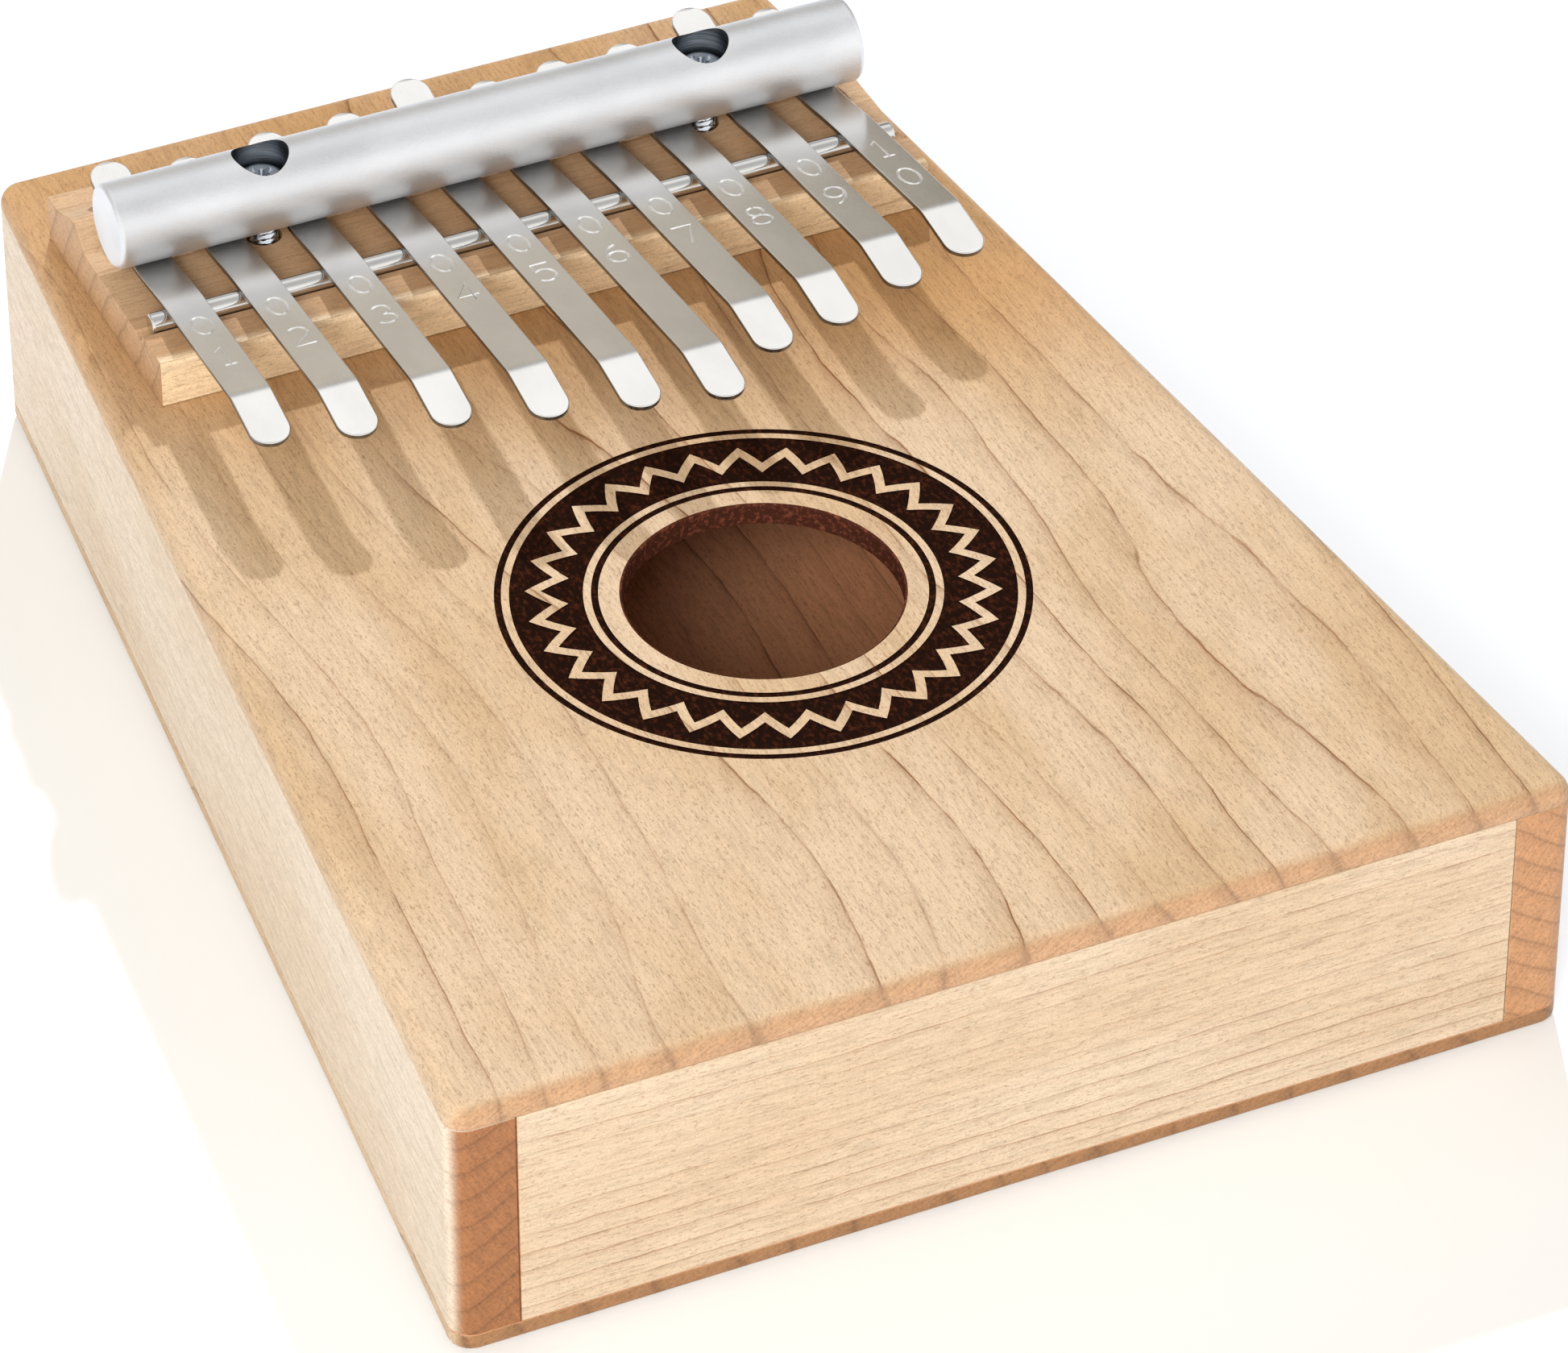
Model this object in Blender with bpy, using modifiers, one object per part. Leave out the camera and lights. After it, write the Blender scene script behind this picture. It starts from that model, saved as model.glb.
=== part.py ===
"""Mbira with ten spring-steel tines on a hollow, tapered wooden box.

Metres, +Z up. X runs across the player's view, +Y from the player's end to the
bridge end, and the origin is at the centre of the underside.
"""

import math

import bmesh
import bpy

MM = 0.001

# The box: a tapered tray of boards between two thin plates.
LENGTH = 201 * MM
NEAR_WIDTH = 150 * MM
FAR_WIDTH = 113.2 * MM
HEIGHT = 37.8 * MM
TOP_THICKNESS = 3.0 * MM
BOTTOM_THICKNESS = 2.4 * MM
SIDE_THICKNESS = 8.5 * MM
END_THICKNESS = 8.0 * MM
CORNER_RADIUS = 3.0 * MM
TOP_ROUNDING = 2.6 * MM
BOTTOM_ROUNDING = 0.8 * MM
GAP = 0.3 * MM

NEAR_END = -LENGTH / 2
FAR_END = LENGTH / 2
TAPER = (NEAR_WIDTH - FAR_WIDTH) / 2 / LENGTH
SIDE_ACROSS = SIDE_THICKNESS * math.hypot(1, TAPER)
TOP_UNDERSIDE = HEIGHT - TOP_THICKNESS

# The sound hole, measured from the near end.
HOLE_RADIUS = 17.8 * MM
HOLE_Y = NEAR_END + 76.4 * MM

# The bridge block glued on the top plate. Heights are above the plate.
BLOCK_HALF_WIDTH = 54.7 * MM
BLOCK_FRONT = NEAR_END + 143.8 * MM
BLOCK_REAR = NEAR_END + 185.4 * MM
BLOCK_HEIGHT = 6.9 * MM
BLOCK_EDGE_RADIUS = 0.7 * MM
BED_HEIGHT = 6.1 * MM
BED_REAR = NEAR_END + 170.6 * MM
RIDGE_Y = NEAR_END + 175.2 * MM
RIDGE_HEIGHT = 8.9 * MM
RIDGE_REAR = NEAR_END + 182.4 * MM

# The polished rod that the tines rest on, half sunk in the block.
ROD_RADIUS = 1.5 * MM
ROD_HALF_LENGTH = 53.0 * MM
ROD_Y = NEAR_END + 152.0 * MM
ROD_Z = HEIGHT + 7.2 * MM
ROD_GROOVE_RADIUS = ROD_RADIUS + GAP
ROD_CHAMFER = 0.3 * MM

# The round bar that clamps the tines, and its two screws.
BAR_RADIUS = 5.8 * MM
BAR_HALF_LENGTH = 53.2 * MM
BAR_Y = NEAR_END + 166.2 * MM
BAR_Z = HEIGHT + 13.6 * MM
BAR_CHAMFER = 0.8 * MM
SCREW_X = 31.5 * MM
COUNTERBORE_RADIUS = 3.8 * MM
COUNTERBORE_FLOOR = BAR_Z - 0.4 * MM
SHANK_RADIUS = 2.0 * MM
SHANK_HOLE_RADIUS = 2.4 * MM
HEAD_RADIUS = 3.4 * MM
HEAD_HEIGHT = 2.4 * MM
SCREW_TIP = 20.0 * MM
POINT_LENGTH = 4.0 * MM
RECESS_LENGTH = 4.0 * MM
RECESS_WIDTH = 0.9 * MM
RECESS_DEPTH = 1.3 * MM

# The domed head from its crown to its rim: parts of its radius, and of its
# height measured down from the crown.
HEAD_DOME = [(0, 0), (0.55, 0.06), (0.87, 0.3), (1, 0.65), (1, 1)]

# The hardwood block inside the box that the screws bite into.
INNER_FRONT = NEAR_END + 154.0 * MM
INNER_REAR = NEAR_END + 178.0 * MM
INNER_DEPTH = 18.0 * MM

# The tines: flat spring steel, bent over the ridge, under the bar and over the rod.
TINE_WIDTH = 5.5 * MM
TINE_THICKNESS = 0.8 * MM
TINE_CLEARANCE = 0.25 * MM
TINE_RISE = math.radians(6.0)
TIP_DROP = math.radians(9.0)
TIP_LENGTH = 10.5 * MM
TIP_BEND = 4.0 * MM
TAIL_SLOPE = math.tan(math.radians(13.0))
ROD_SPLIT = GAP / 2
STRIP_STEPS = 12
END_STEPS = 6

# One row for each tine, left to right as the player sees them: where it passes
# the bar, where its tip lies (across), and its tip and tail from the near end.
TINE_ROWS = [
    (-47.7, -49.1, 117.2, 183.2),
    (-37.5, -38.5, 113.7, 180.7),
    (-25.9, -27.0, 110.4, 181.5),
    (-14.6, -15.3, 106.3, 181.4),
    (-4.0, -4.0, 103.0, 184.4),
    (5.9, 6.5, 100.2, 180.8),
    (16.0, 16.8, 108.0, 181.3),
    (26.2, 27.0, 110.0, 181.2),
    (37.4, 38.2, 114.6, 184.4),
    (47.6, 48.9, 118.3, 180.9),
]


def half_width(y):
    """Half the width of the box at a place along its length."""
    return NEAR_WIDTH / 2 - TAPER * (y - NEAR_END)


def make_collection(name):
    collection = bpy.data.collections.new(name)
    bpy.context.scene.collection.children.link(collection)
    return collection


def make_material(name, colour, roughness, metallic=0.0):
    material = bpy.data.materials.new(name)
    material.use_nodes = True
    shader = material.node_tree.nodes["Principled BSDF"]
    shader.inputs["Base Color"].default_value = (*colour, 1.0)
    shader.inputs["Roughness"].default_value = roughness
    shader.inputs["Metallic"].default_value = metallic
    return material


def add_object(name, mesh, material, collection):
    item = bpy.data.objects.new(name, mesh)
    if material:
        mesh.materials.append(material)
    collection.objects.link(item)
    return item


def object_from_bmesh(name, shape, material, collection):
    bmesh.ops.recalc_face_normals(shape, faces=shape.faces)
    mesh = bpy.data.meshes.new(name)
    shape.to_mesh(mesh)
    shape.free()
    return add_object(name, mesh, material, collection)


def shade_round(item, angle=35):
    item.data.shade_smooth()
    item.data.set_sharp_from_angle(angle=math.radians(angle))


def board(name, near, far, ends, heights, material, collection, corners=0.0):
    """A flat board with a four-sided plan.

    near and far are (left, right) across, ends is (near, far) along and heights
    is (bottom, top). corners rounds the upright edges that face outwards.
    """
    shape = bmesh.new()
    bmesh.ops.create_cube(shape, size=1.0)
    for vert in shape.verts:
        across = near if vert.co.y < 0 else far
        vert.co.x = across[0] if vert.co.x < 0 else across[1]
        vert.co.y = ends[0] if vert.co.y < 0 else ends[1]
        vert.co.z = heights[0] if vert.co.z < 0 else heights[1]
    if corners:
        outer = [edge for edge in shape.edges if is_outer_upright(edge)]
        bmesh.ops.bevel(shape, geom=outer, offset=corners, segments=5, profile=0.5,
                        affect="EDGES")
    return object_from_bmesh(name, shape, material, collection)


def is_outer_upright(edge):
    """Whether an edge is an upright corner of the whole box."""
    low, high = edge.verts
    upright = abs(low.co.x - high.co.x) < MM / 10 and abs(low.co.y - high.co.y) < MM / 10
    outside = abs(abs(low.co.x) - half_width(low.co.y)) < MM / 10
    return upright and outside


def round_rim(item, height, width, segments):
    """Round the edges of a plate that lie at one height."""
    shape = bmesh.new()
    shape.from_mesh(item.data)
    rim = []
    for edge in shape.edges:
        flat = all(abs(vert.co.z - height) < MM / 100 for vert in edge.verts)
        if flat and edge.calc_face_angle(0) > math.radians(60):
            rim.append(edge)
    bmesh.ops.bevel(shape, geom=rim, offset=width, segments=segments, profile=0.5,
                    affect="EDGES", clamp_overlap=True)
    shape.to_mesh(item.data)
    shape.free()


def upright_cutter(name, radius, x, y, bottom, top, collection, sides=32):
    shape = bmesh.new()
    bmesh.ops.create_cone(shape, cap_ends=True, segments=sides, radius1=radius,
                          radius2=radius, depth=top - bottom)
    cutter = object_from_bmesh(name, shape, None, collection)
    cutter.location = (x, y, (bottom + top) / 2)
    cutter.hide_render = True
    cutter.display_type = "WIRE"
    return cutter


def cut(item, cutter):
    modifier = item.modifiers.new("cut_" + cutter.name, "BOOLEAN")
    modifier.operation = "DIFFERENCE"
    modifier.solver = "EXACT"
    modifier.object = cutter


def make_box(wood, light_wood, collection, cutters):
    """The two plates, the side boards and the end panels."""
    plan = ((-half_width(NEAR_END), half_width(NEAR_END)),
            (-half_width(FAR_END), half_width(FAR_END)))
    ends = (NEAR_END, FAR_END)
    top = board("top_plate", *plan, ends, (TOP_UNDERSIDE, HEIGHT), wood, collection,
                CORNER_RADIUS)
    round_rim(top, HEIGHT, TOP_ROUNDING, 4)
    cut(top, upright_cutter("sound_hole_cutter", HOLE_RADIUS, 0, HOLE_Y,
                            TOP_UNDERSIDE - MM, HEIGHT + MM, cutters, 64))
    bottom = board("bottom_plate", *plan, ends, (0, BOTTOM_THICKNESS), wood, collection,
                   CORNER_RADIUS)
    round_rim(bottom, 0, BOTTOM_ROUNDING, 2)

    walls = (BOTTOM_THICKNESS + GAP, TOP_UNDERSIDE - GAP)
    for name, side in (("left_side_board", -1), ("right_side_board", 1)):
        near = sorted((side * half_width(NEAR_END), side * (half_width(NEAR_END) - SIDE_ACROSS)))
        far = sorted((side * half_width(FAR_END), side * (half_width(FAR_END) - SIDE_ACROSS)))
        board(name, near, far, ends, walls, wood, collection, CORNER_RADIUS)
    for name, start in (("near_end_panel", NEAR_END), ("far_end_panel", FAR_END - END_THICKNESS)):
        stop = start + END_THICKNESS
        board(name, inside_width(start), inside_width(stop), (start, stop), walls, light_wood,
              collection)
    inner = board("inner_screw_block", inside_width(INNER_FRONT), inside_width(INNER_REAR),
                  (INNER_FRONT, INNER_REAR), (walls[1] - INNER_DEPTH, walls[1]), wood, collection)
    return top, inner


def inside_width(y):
    """The space between the side boards, less a gap at each."""
    reach = half_width(y) - SIDE_ACROSS - GAP
    return (-reach, reach)


def block_outline():
    """The bridge block seen from its end, as (along, height) from front to rear."""
    foot = HEIGHT + GAP
    land = HEIGHT + BLOCK_HEIGHT
    bed = HEIGHT + BED_HEIGHT
    points = [(BLOCK_FRONT, foot)]
    for step in range(4):
        turn = math.radians(30 * step)
        points.append((BLOCK_FRONT + BLOCK_EDGE_RADIUS * (1 - math.cos(turn)),
                       land - BLOCK_EDGE_RADIUS * (1 - math.sin(turn))))
    start = math.pi - math.asin((land - ROD_Z) / ROD_GROOVE_RADIUS)
    stop = 2 * math.pi + math.asin((bed - ROD_Z) / ROD_GROOVE_RADIUS)
    for step in range(9):
        turn = start + (stop - start) * step / 8
        points.append((ROD_Y + ROD_GROOVE_RADIUS * math.cos(turn),
                       ROD_Z + ROD_GROOVE_RADIUS * math.sin(turn)))
    crest = HEIGHT + RIDGE_HEIGHT
    points += [ridge_point(BED_REAR, bed, RIDGE_Y, crest, step / 5) for step in range(6)]
    points += [ridge_point(RIDGE_Y, crest, RIDGE_REAR, land, step / 6) for step in range(1, 7)]
    points += [(BLOCK_REAR - BLOCK_EDGE_RADIUS, land), (BLOCK_REAR, land - BLOCK_EDGE_RADIUS),
               (BLOCK_REAR, foot)]
    return points


def ridge_point(start, low, stop, high, part):
    """A point on the smooth rise from one height to another."""
    blend = (1 - math.cos(math.pi * part)) / 2
    return (start + (stop - start) * part, low + (high - low) * blend)


def make_bridge_block(material, collection):
    """The block is its end outline, drawn as a curve and drawn out across the box."""
    curve = bpy.data.curves.new("bridge_outline", "CURVE")
    curve.dimensions = "2D"
    curve.fill_mode = "BOTH"
    curve.extrude = BLOCK_HALF_WIDTH
    outline = block_outline()
    spline = curve.splines.new("POLY")
    spline.points.add(len(outline) - 1)
    for point, (along, height) in zip(spline.points, outline):
        point.co = (along, height, 0, 1)
    spline.use_cyclic_u = True
    drawn = bpy.data.objects.new("bridge_outline", curve)
    drawn.rotation_euler = (math.pi / 2, 0, math.pi / 2)
    collection.objects.link(drawn)
    bpy.context.view_layer.update()
    mesh = bpy.data.meshes.new_from_object(drawn.evaluated_get(
        bpy.context.evaluated_depsgraph_get()))
    mesh.transform(drawn.matrix_world)
    bpy.data.objects.remove(drawn)
    shape = bmesh.new()
    shape.from_mesh(mesh)
    bmesh.ops.remove_doubles(shape, verts=shape.verts, dist=MM / 100)
    bpy.data.meshes.remove(mesh)
    return object_from_bmesh("bridge_block", shape, material, collection)


def round_bar(name, radius, half_length, place, chamfer, sides, material, collection):
    """A round bar across the box, with chamfered ends."""
    shape = bmesh.new()
    bmesh.ops.create_cone(shape, cap_ends=True, segments=sides, radius1=radius,
                          radius2=radius, depth=2 * half_length)
    ends = [edge for edge in shape.edges if abs(edge.verts[0].co.z - edge.verts[1].co.z) < MM / 10]
    bmesh.ops.bevel(shape, geom=ends, offset=chamfer, segments=2, profile=0.5, affect="EDGES")
    bar = object_from_bmesh(name, shape, material, collection)
    bar.rotation_euler = (0, math.pi / 2, 0)
    bar.location = place
    shade_round(bar)
    return bar


def make_screw(name, x, material, collection, cutters):
    """A pan-head screw turned from its half outline, with a cross recess."""
    floor = COUNTERBORE_FLOOR + GAP
    crown = floor + HEAD_HEIGHT
    outline = [(HEAD_RADIUS * out, crown - HEAD_HEIGHT * down) for out, down in HEAD_DOME]
    outline += [(SHANK_RADIUS, floor), (SHANK_RADIUS, SCREW_TIP + POINT_LENGTH), (0, SCREW_TIP)]
    mesh = bpy.data.meshes.new(name)
    links = [(index, index + 1) for index in range(len(outline) - 1)]
    mesh.from_pydata([(radius, 0, height) for radius, height in outline], links, [])
    screw = add_object(name, mesh, material, collection)
    screw.location = (x, BAR_Y, 0)
    turn = screw.modifiers.new("turn", "SCREW")
    turn.steps = 24
    turn.render_steps = 24
    turn.use_merge_vertices = True
    turn.merge_threshold = MM / 100
    turn.use_smooth_shade = False
    for name_end, size in (("a", (RECESS_LENGTH, RECESS_WIDTH)), ("b", (RECESS_WIDTH, RECESS_LENGTH))):
        shape = bmesh.new()
        bmesh.ops.create_cube(shape, size=1.0)
        bmesh.ops.scale(shape, vec=(*size, 2 * RECESS_DEPTH), verts=shape.verts)
        arm = object_from_bmesh(name + "_recess_" + name_end, shape, None, cutters)
        arm.location = (x, BAR_Y, crown)
        arm.hide_render = True
        arm.display_type = "WIRE"
        cut(screw, arm)
    return screw


def make_bridge(block_wood, alloy, steel, screw_steel, collection, cutters, top, inner):
    """The block, bar, rod and screws, with the screw holes through what they hold."""
    block = make_bridge_block(block_wood, collection)
    bar = round_bar("clamp_bar", BAR_RADIUS, BAR_HALF_LENGTH, (0, BAR_Y, BAR_Z), BAR_CHAMFER,
                    48, alloy, collection)
    round_bar("bridge_rod", ROD_RADIUS, ROD_HALF_LENGTH, (0, ROD_Y, ROD_Z), ROD_CHAMFER,
              24, steel, collection)
    for name, x in (("left", -SCREW_X), ("right", SCREW_X)):
        make_screw("clamp_screw_" + name, x, screw_steel, collection, cutters)
        hole = upright_cutter(name + "_hole_cutter", SHANK_HOLE_RADIUS, x, BAR_Y,
                              SCREW_TIP - MM, BAR_Z + BAR_RADIUS, cutters, 24)
        for item in (bar, block, top, inner):
            cut(item, hole)
        cut(bar, upright_cutter(name + "_counterbore_cutter", COUNTERBORE_RADIUS, x, BAR_Y,
                                COUNTERBORE_FLOOR, BAR_Z + 2 * BAR_RADIUS, cutters, 32))


def tine_height(y, tip):
    """Height of a tine's mid-line: over the ridge, under the bar, over the rod, to the tip."""
    over_ridge = HEIGHT + RIDGE_HEIGHT + TINE_CLEARANCE + TINE_THICKNESS / 2
    under_bar = BAR_Z - BAR_RADIUS - TINE_CLEARANCE - TINE_THICKNESS / 2
    over_rod = ROD_Z + ROD_RADIUS + TINE_CLEARANCE + TINE_THICKNESS / 2
    rise = math.tan(TINE_RISE)
    if y >= RIDGE_Y:
        return over_ridge + TAIL_SLOPE * (y - RIDGE_Y)
    if y >= BAR_Y:
        return hermite(y, BAR_Y, under_bar, 0, RIDGE_Y, over_ridge, TAIL_SLOPE)
    if y >= ROD_Y:
        return hermite(y, ROD_Y, over_rod, -rise, BAR_Y, under_bar, 0)
    bend = tip + TIP_LENGTH
    straight = over_rod + rise * (ROD_Y - y)
    if y >= bend:
        return straight
    turned = min(bend - y, TIP_BEND)
    past = max(bend - y - TIP_BEND, 0)
    change = math.tan(TIP_DROP) + rise
    return straight - change * (turned ** 2 / TIP_BEND / 2 + past)


def hermite(y, start, low, slope_low, stop, high, slope_high):
    """A smooth curve between two heights with given slopes."""
    span = stop - start
    part = (y - start) / span
    return ((2 * part ** 3 - 3 * part ** 2 + 1) * low
            + (part ** 3 - 2 * part ** 2 + part) * span * slope_low
            + (3 * part ** 2 - 2 * part ** 3) * high
            + (part ** 3 - part ** 2) * span * slope_high)


def tine_stations(start, stop):
    """Places along a tine, from its cut end to its round end, close together at the end."""
    reach = math.copysign(TINE_WIDTH / 2, stop - start)
    straight = stop - reach
    places = [start + (straight - start) * step / STRIP_STEPS for step in range(STRIP_STEPS)]
    places += [straight + reach * math.sin(math.pi / 2 * step / END_STEPS)
               for step in range(END_STEPS)]
    return places + [stop]


def strip_half_width(y, stop):
    """Half the width of a tine near its round end."""
    radius = TINE_WIDTH / 2
    inside = min(abs(stop - y), radius)
    return math.sqrt(max(radius ** 2 - (radius - inside) ** 2, 0))


def make_strip(name, start, stop, centre, tip, material, collection):
    """A bent strip of spring steel from a cut end at start to a round end at stop."""
    shape = bmesh.new()
    previous = None
    for y in tine_stations(start, stop):
        half = strip_half_width(y, stop)
        height = tine_height(y, tip)
        if half < MM / 100:
            row = [shape.verts.new((centre(y), y, height))]
        else:
            row = [shape.verts.new((centre(y) + side * half, y, height)) for side in (-1, 1)]
        if previous:
            shape.faces.new(previous + row[::-1])
        previous = row
    for face in shape.faces:
        face.normal_update()
        if face.normal.z < 0:
            face.normal_flip()
    mesh = bpy.data.meshes.new(name)
    shape.to_mesh(mesh)
    shape.free()
    strip = add_object(name, mesh, material, collection)
    solid = strip.modifiers.new("thickness", "SOLIDIFY")
    solid.thickness = TINE_THICKNESS
    solid.offset = 0
    return strip


def make_tines(material, collection):
    """Each tine is a clamped tail and a free tongue that meet over the rod."""
    for number, (bar_x, tip_x, tip_mm, tail_mm) in enumerate(TINE_ROWS, 1):
        tip = NEAR_END + tip_mm * MM
        tail = NEAR_END + tail_mm * MM
        lean = (tip_x - bar_x) * MM / (BAR_Y - tip)

        def centre(y, bar_x=bar_x, lean=lean):
            return bar_x * MM + lean * (BAR_Y - y)

        pivot = bpy.data.objects.new(f"tine_{number:02d}_pivot", None)
        pivot.empty_display_size = TINE_WIDTH
        pivot.location = (centre(ROD_Y), ROD_Y, tine_height(ROD_Y, tip))
        collection.objects.link(pivot)
        make_strip(f"tine_{number:02d}_tail", ROD_Y + ROD_SPLIT, tail, centre, tip, material,
                   collection)
        tongue = make_strip(f"tine_{number:02d}_tongue", ROD_Y - ROD_SPLIT, tip, centre, tip,
                            material, collection)
        tongue.parent = pivot
        tongue.location = [-value for value in pivot.location]


def main():
    for item in list(bpy.data.objects):
        bpy.data.objects.remove(item)
    collection = make_collection("mbira")
    cutters = make_collection("cutters")
    wood = make_material("maple", (0.68, 0.45, 0.25), 0.55)
    light_wood = make_material("end_panel_maple", (0.78, 0.6, 0.4), 0.6)
    block_wood = make_material("bridge_maple", (0.62, 0.42, 0.25), 0.6)
    alloy = make_material("satin_aluminium", (0.8, 0.8, 0.82), 0.4, 1.0)
    rod_steel = make_material("polished_rod_steel", (0.75, 0.75, 0.76), 0.15, 1.0)
    spring_steel = make_material("tine_spring_steel", (0.62, 0.61, 0.58), 0.28, 1.0)
    screw_steel = make_material("screw_steel", (0.3, 0.32, 0.34), 0.3, 1.0)
    top, inner = make_box(wood, light_wood, collection, cutters)
    make_bridge(block_wood, alloy, rod_steel, screw_steel, collection, cutters, top, inner)
    make_tines(spring_steel, collection)


main()
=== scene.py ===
"""The looks of the mbira: fine meshes, materials, studio light and the camera.

Metres, +Z up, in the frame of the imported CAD: X across, +Y from the player's end to
the bridge end, origin at the centre of the underside.
"""

import math

import bmesh
import bpy
from mathutils import Euler, Matrix, Vector


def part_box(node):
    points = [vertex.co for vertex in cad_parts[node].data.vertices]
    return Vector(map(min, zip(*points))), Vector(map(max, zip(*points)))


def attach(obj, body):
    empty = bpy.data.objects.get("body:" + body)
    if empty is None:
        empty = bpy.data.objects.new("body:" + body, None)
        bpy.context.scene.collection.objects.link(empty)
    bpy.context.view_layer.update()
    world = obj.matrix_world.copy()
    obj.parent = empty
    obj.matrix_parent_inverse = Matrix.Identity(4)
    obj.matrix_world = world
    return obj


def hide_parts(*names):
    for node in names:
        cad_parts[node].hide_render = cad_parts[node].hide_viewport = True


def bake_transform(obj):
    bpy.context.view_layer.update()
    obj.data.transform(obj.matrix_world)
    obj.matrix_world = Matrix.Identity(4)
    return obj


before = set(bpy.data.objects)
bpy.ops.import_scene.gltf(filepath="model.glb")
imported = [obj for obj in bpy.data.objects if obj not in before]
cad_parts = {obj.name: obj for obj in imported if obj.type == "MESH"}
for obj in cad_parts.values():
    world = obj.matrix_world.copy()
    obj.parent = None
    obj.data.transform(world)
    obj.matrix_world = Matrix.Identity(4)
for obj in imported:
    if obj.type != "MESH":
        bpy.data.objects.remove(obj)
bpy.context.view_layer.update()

MM = 0.001
ROOT = "body"

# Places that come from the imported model.
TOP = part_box("top_plate")[1].z
TOP_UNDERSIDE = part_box("top_plate")[0].z
NEAR_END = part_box("top_plate")[0].y
FAR_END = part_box("top_plate")[1].y
FLOOR_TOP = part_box("bottom_plate")[1].z
PANEL_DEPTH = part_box("near_end_panel")[1].y - NEAR_END
BLOCK_LOW, BLOCK_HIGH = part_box("bridge_block")
BAR_LOW, BAR_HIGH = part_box("clamp_bar")
BAR_CENTRE = (BAR_LOW + BAR_HIGH) / 2
BAR_RADIUS = (BAR_HIGH.z - BAR_LOW.z) / 2
ROD_LOW, ROD_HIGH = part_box("bridge_rod")
ROD_CENTRE = (ROD_LOW + ROD_HIGH) / 2
ROD_RADIUS = (ROD_HIGH.z - ROD_LOW.z) / 2
SCREW_LOW, SCREW_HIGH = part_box("clamp_screw_right")
SCREW_X = (SCREW_LOW.x + SCREW_HIGH.x) / 2
HEAD_RADIUS = (SCREW_HIGH.x - SCREW_LOW.x) / 2

# The box. The plan tapers, so its two widths are given here, as in the CAD.
NEAR_HALF_WIDTH = 75 * MM
FAR_HALF_WIDTH = 56.6 * MM
SIDE_THICKNESS = 8.5 * MM
CORNER_RADIUS = 3 * MM
TOP_ROUNDING = 2.6 * MM
BOTTOM_ROUNDING = 0.8 * MM
SOFT_EDGE = 0.22 * MM
SEAM = 0.08 * MM
CORNER_STEPS = 8

# The sound hole and the ring of burnt ornament round it: a plain zigzag between circles.
# ZIGZAG_OFFSET is how far the zigzag's two edges lie from the middle of the ring.
HOLE_RADIUS = 17.8 * MM
HOLE_Y = NEAR_END + 76.4 * MM
HOLE_EDGE = 0.35 * MM
RING_OUTER = 33.9 * MM
RING_INNER = 20.8 * MM
RING_LINE = 0.9 * MM
RING_GAP = 1.0 * MM
RING_TEETH = 30
ZIGZAG_OFFSET = 1.0 * MM
TOOTH_SWING = 1.7 * MM
TOOTH_STEPS = 6
BURN_DEPTH = 0.15 * MM

# The bridge block's outline, in heights above the top plate.
LAND = 6.9 * MM
BED = 6.1 * MM
BED_REAR = NEAR_END + 170.6 * MM
RIDGE_Y = NEAR_END + 175.2 * MM
RIDGE_HEIGHT = 8.9 * MM
RIDGE_REAR = NEAR_END + 182.4 * MM
BLOCK_EDGE = 0.7 * MM
GROOVE_RADIUS = ROD_RADIUS + 0.12 * MM
GROOVE_STEPS = 24
BAR_EDGE = 0.8 * MM
ROD_EDGE = 0.35 * MM

# The clamp bar's screws. The head's wall is a part of its height, its flat crown a part of
# its radius. Recesses are (turn, reach, half width, depth), and narrow to their bottom.
COUNTERBORE_RADIUS = 3.8 * MM
COUNTERBORE_FLOOR = BAR_CENTRE.z - 0.4 * MM
SHANK_RADIUS = 2.0 * MM
SHANK_HOLE_RADIUS = 2.4 * MM
SHANK_LOW = SCREW_LOW.z + 4 * MM
HEAD_RIM = 0.25 * MM
HEAD_WALL = 0.42
HEAD_CROWN = 0.62
CROWN_DROP = 0.06
THREAD_PITCH = 0.8 * MM
THREAD_DEPTH = 0.32 * MM
RECESSES = [
    (0, 2.1 * MM, 0.42 * MM, 1.5 * MM),
    (math.pi / 4, 1.3 * MM, 0.16 * MM, 0.7 * MM),
]
RECESS_BOTTOM = 0.45
RECESS_MOUTH = 1.15
SCREW_TURN = math.radians(20)

# The tines. One row each, as in the CAD, in millimetres: where it passes the bar, where
# its tip lies (across), and its tip and tail from the near end.
TINE_WIDTH = 5.5 * MM
TINE_THICKNESS = 0.8 * MM
TINE_TOUCH = 0.04 * MM
TINE_EDGE = 0.16 * MM
TINE_RISE = math.tan(math.radians(6.0))
TIP_DROP = math.tan(math.radians(9.0))
TIP_LENGTH = 10.5 * MM
TIP_BEND = 1.6 * MM
TAIL_SLOPE = math.tan(math.radians(13.0))
TINE_END_STEPS = 10
TINE_SIDE_FACING = 0.35
TINE_ROWS = [
    (-47.7, -49.1, 117.2, 183.2),
    (-37.5, -38.5, 113.7, 180.7),
    (-25.9, -27.0, 110.4, 181.5),
    (-14.6, -15.3, 106.3, 181.4),
    (-4.0, -4.0, 103.0, 184.4),
    (5.9, 6.5, 100.2, 180.8),
    (16.0, 16.8, 108.0, 181.3),
    (26.2, 27.0, 110.0, 181.2),
    (37.4, 38.2, 114.6, 184.4),
    (47.6, 48.9, 118.3, 180.9),
]
MARK_WIDTH = 3.3 * MM
MARK_HEIGHT = 4.6 * MM
MARK_STROKE = 0.24 * MM
MARK_LIFT = 0.03 * MM
MARK_PLACES = (7.0 * MM, 15.5 * MM)


# ---------------------------------------------------------------- meshes

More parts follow.
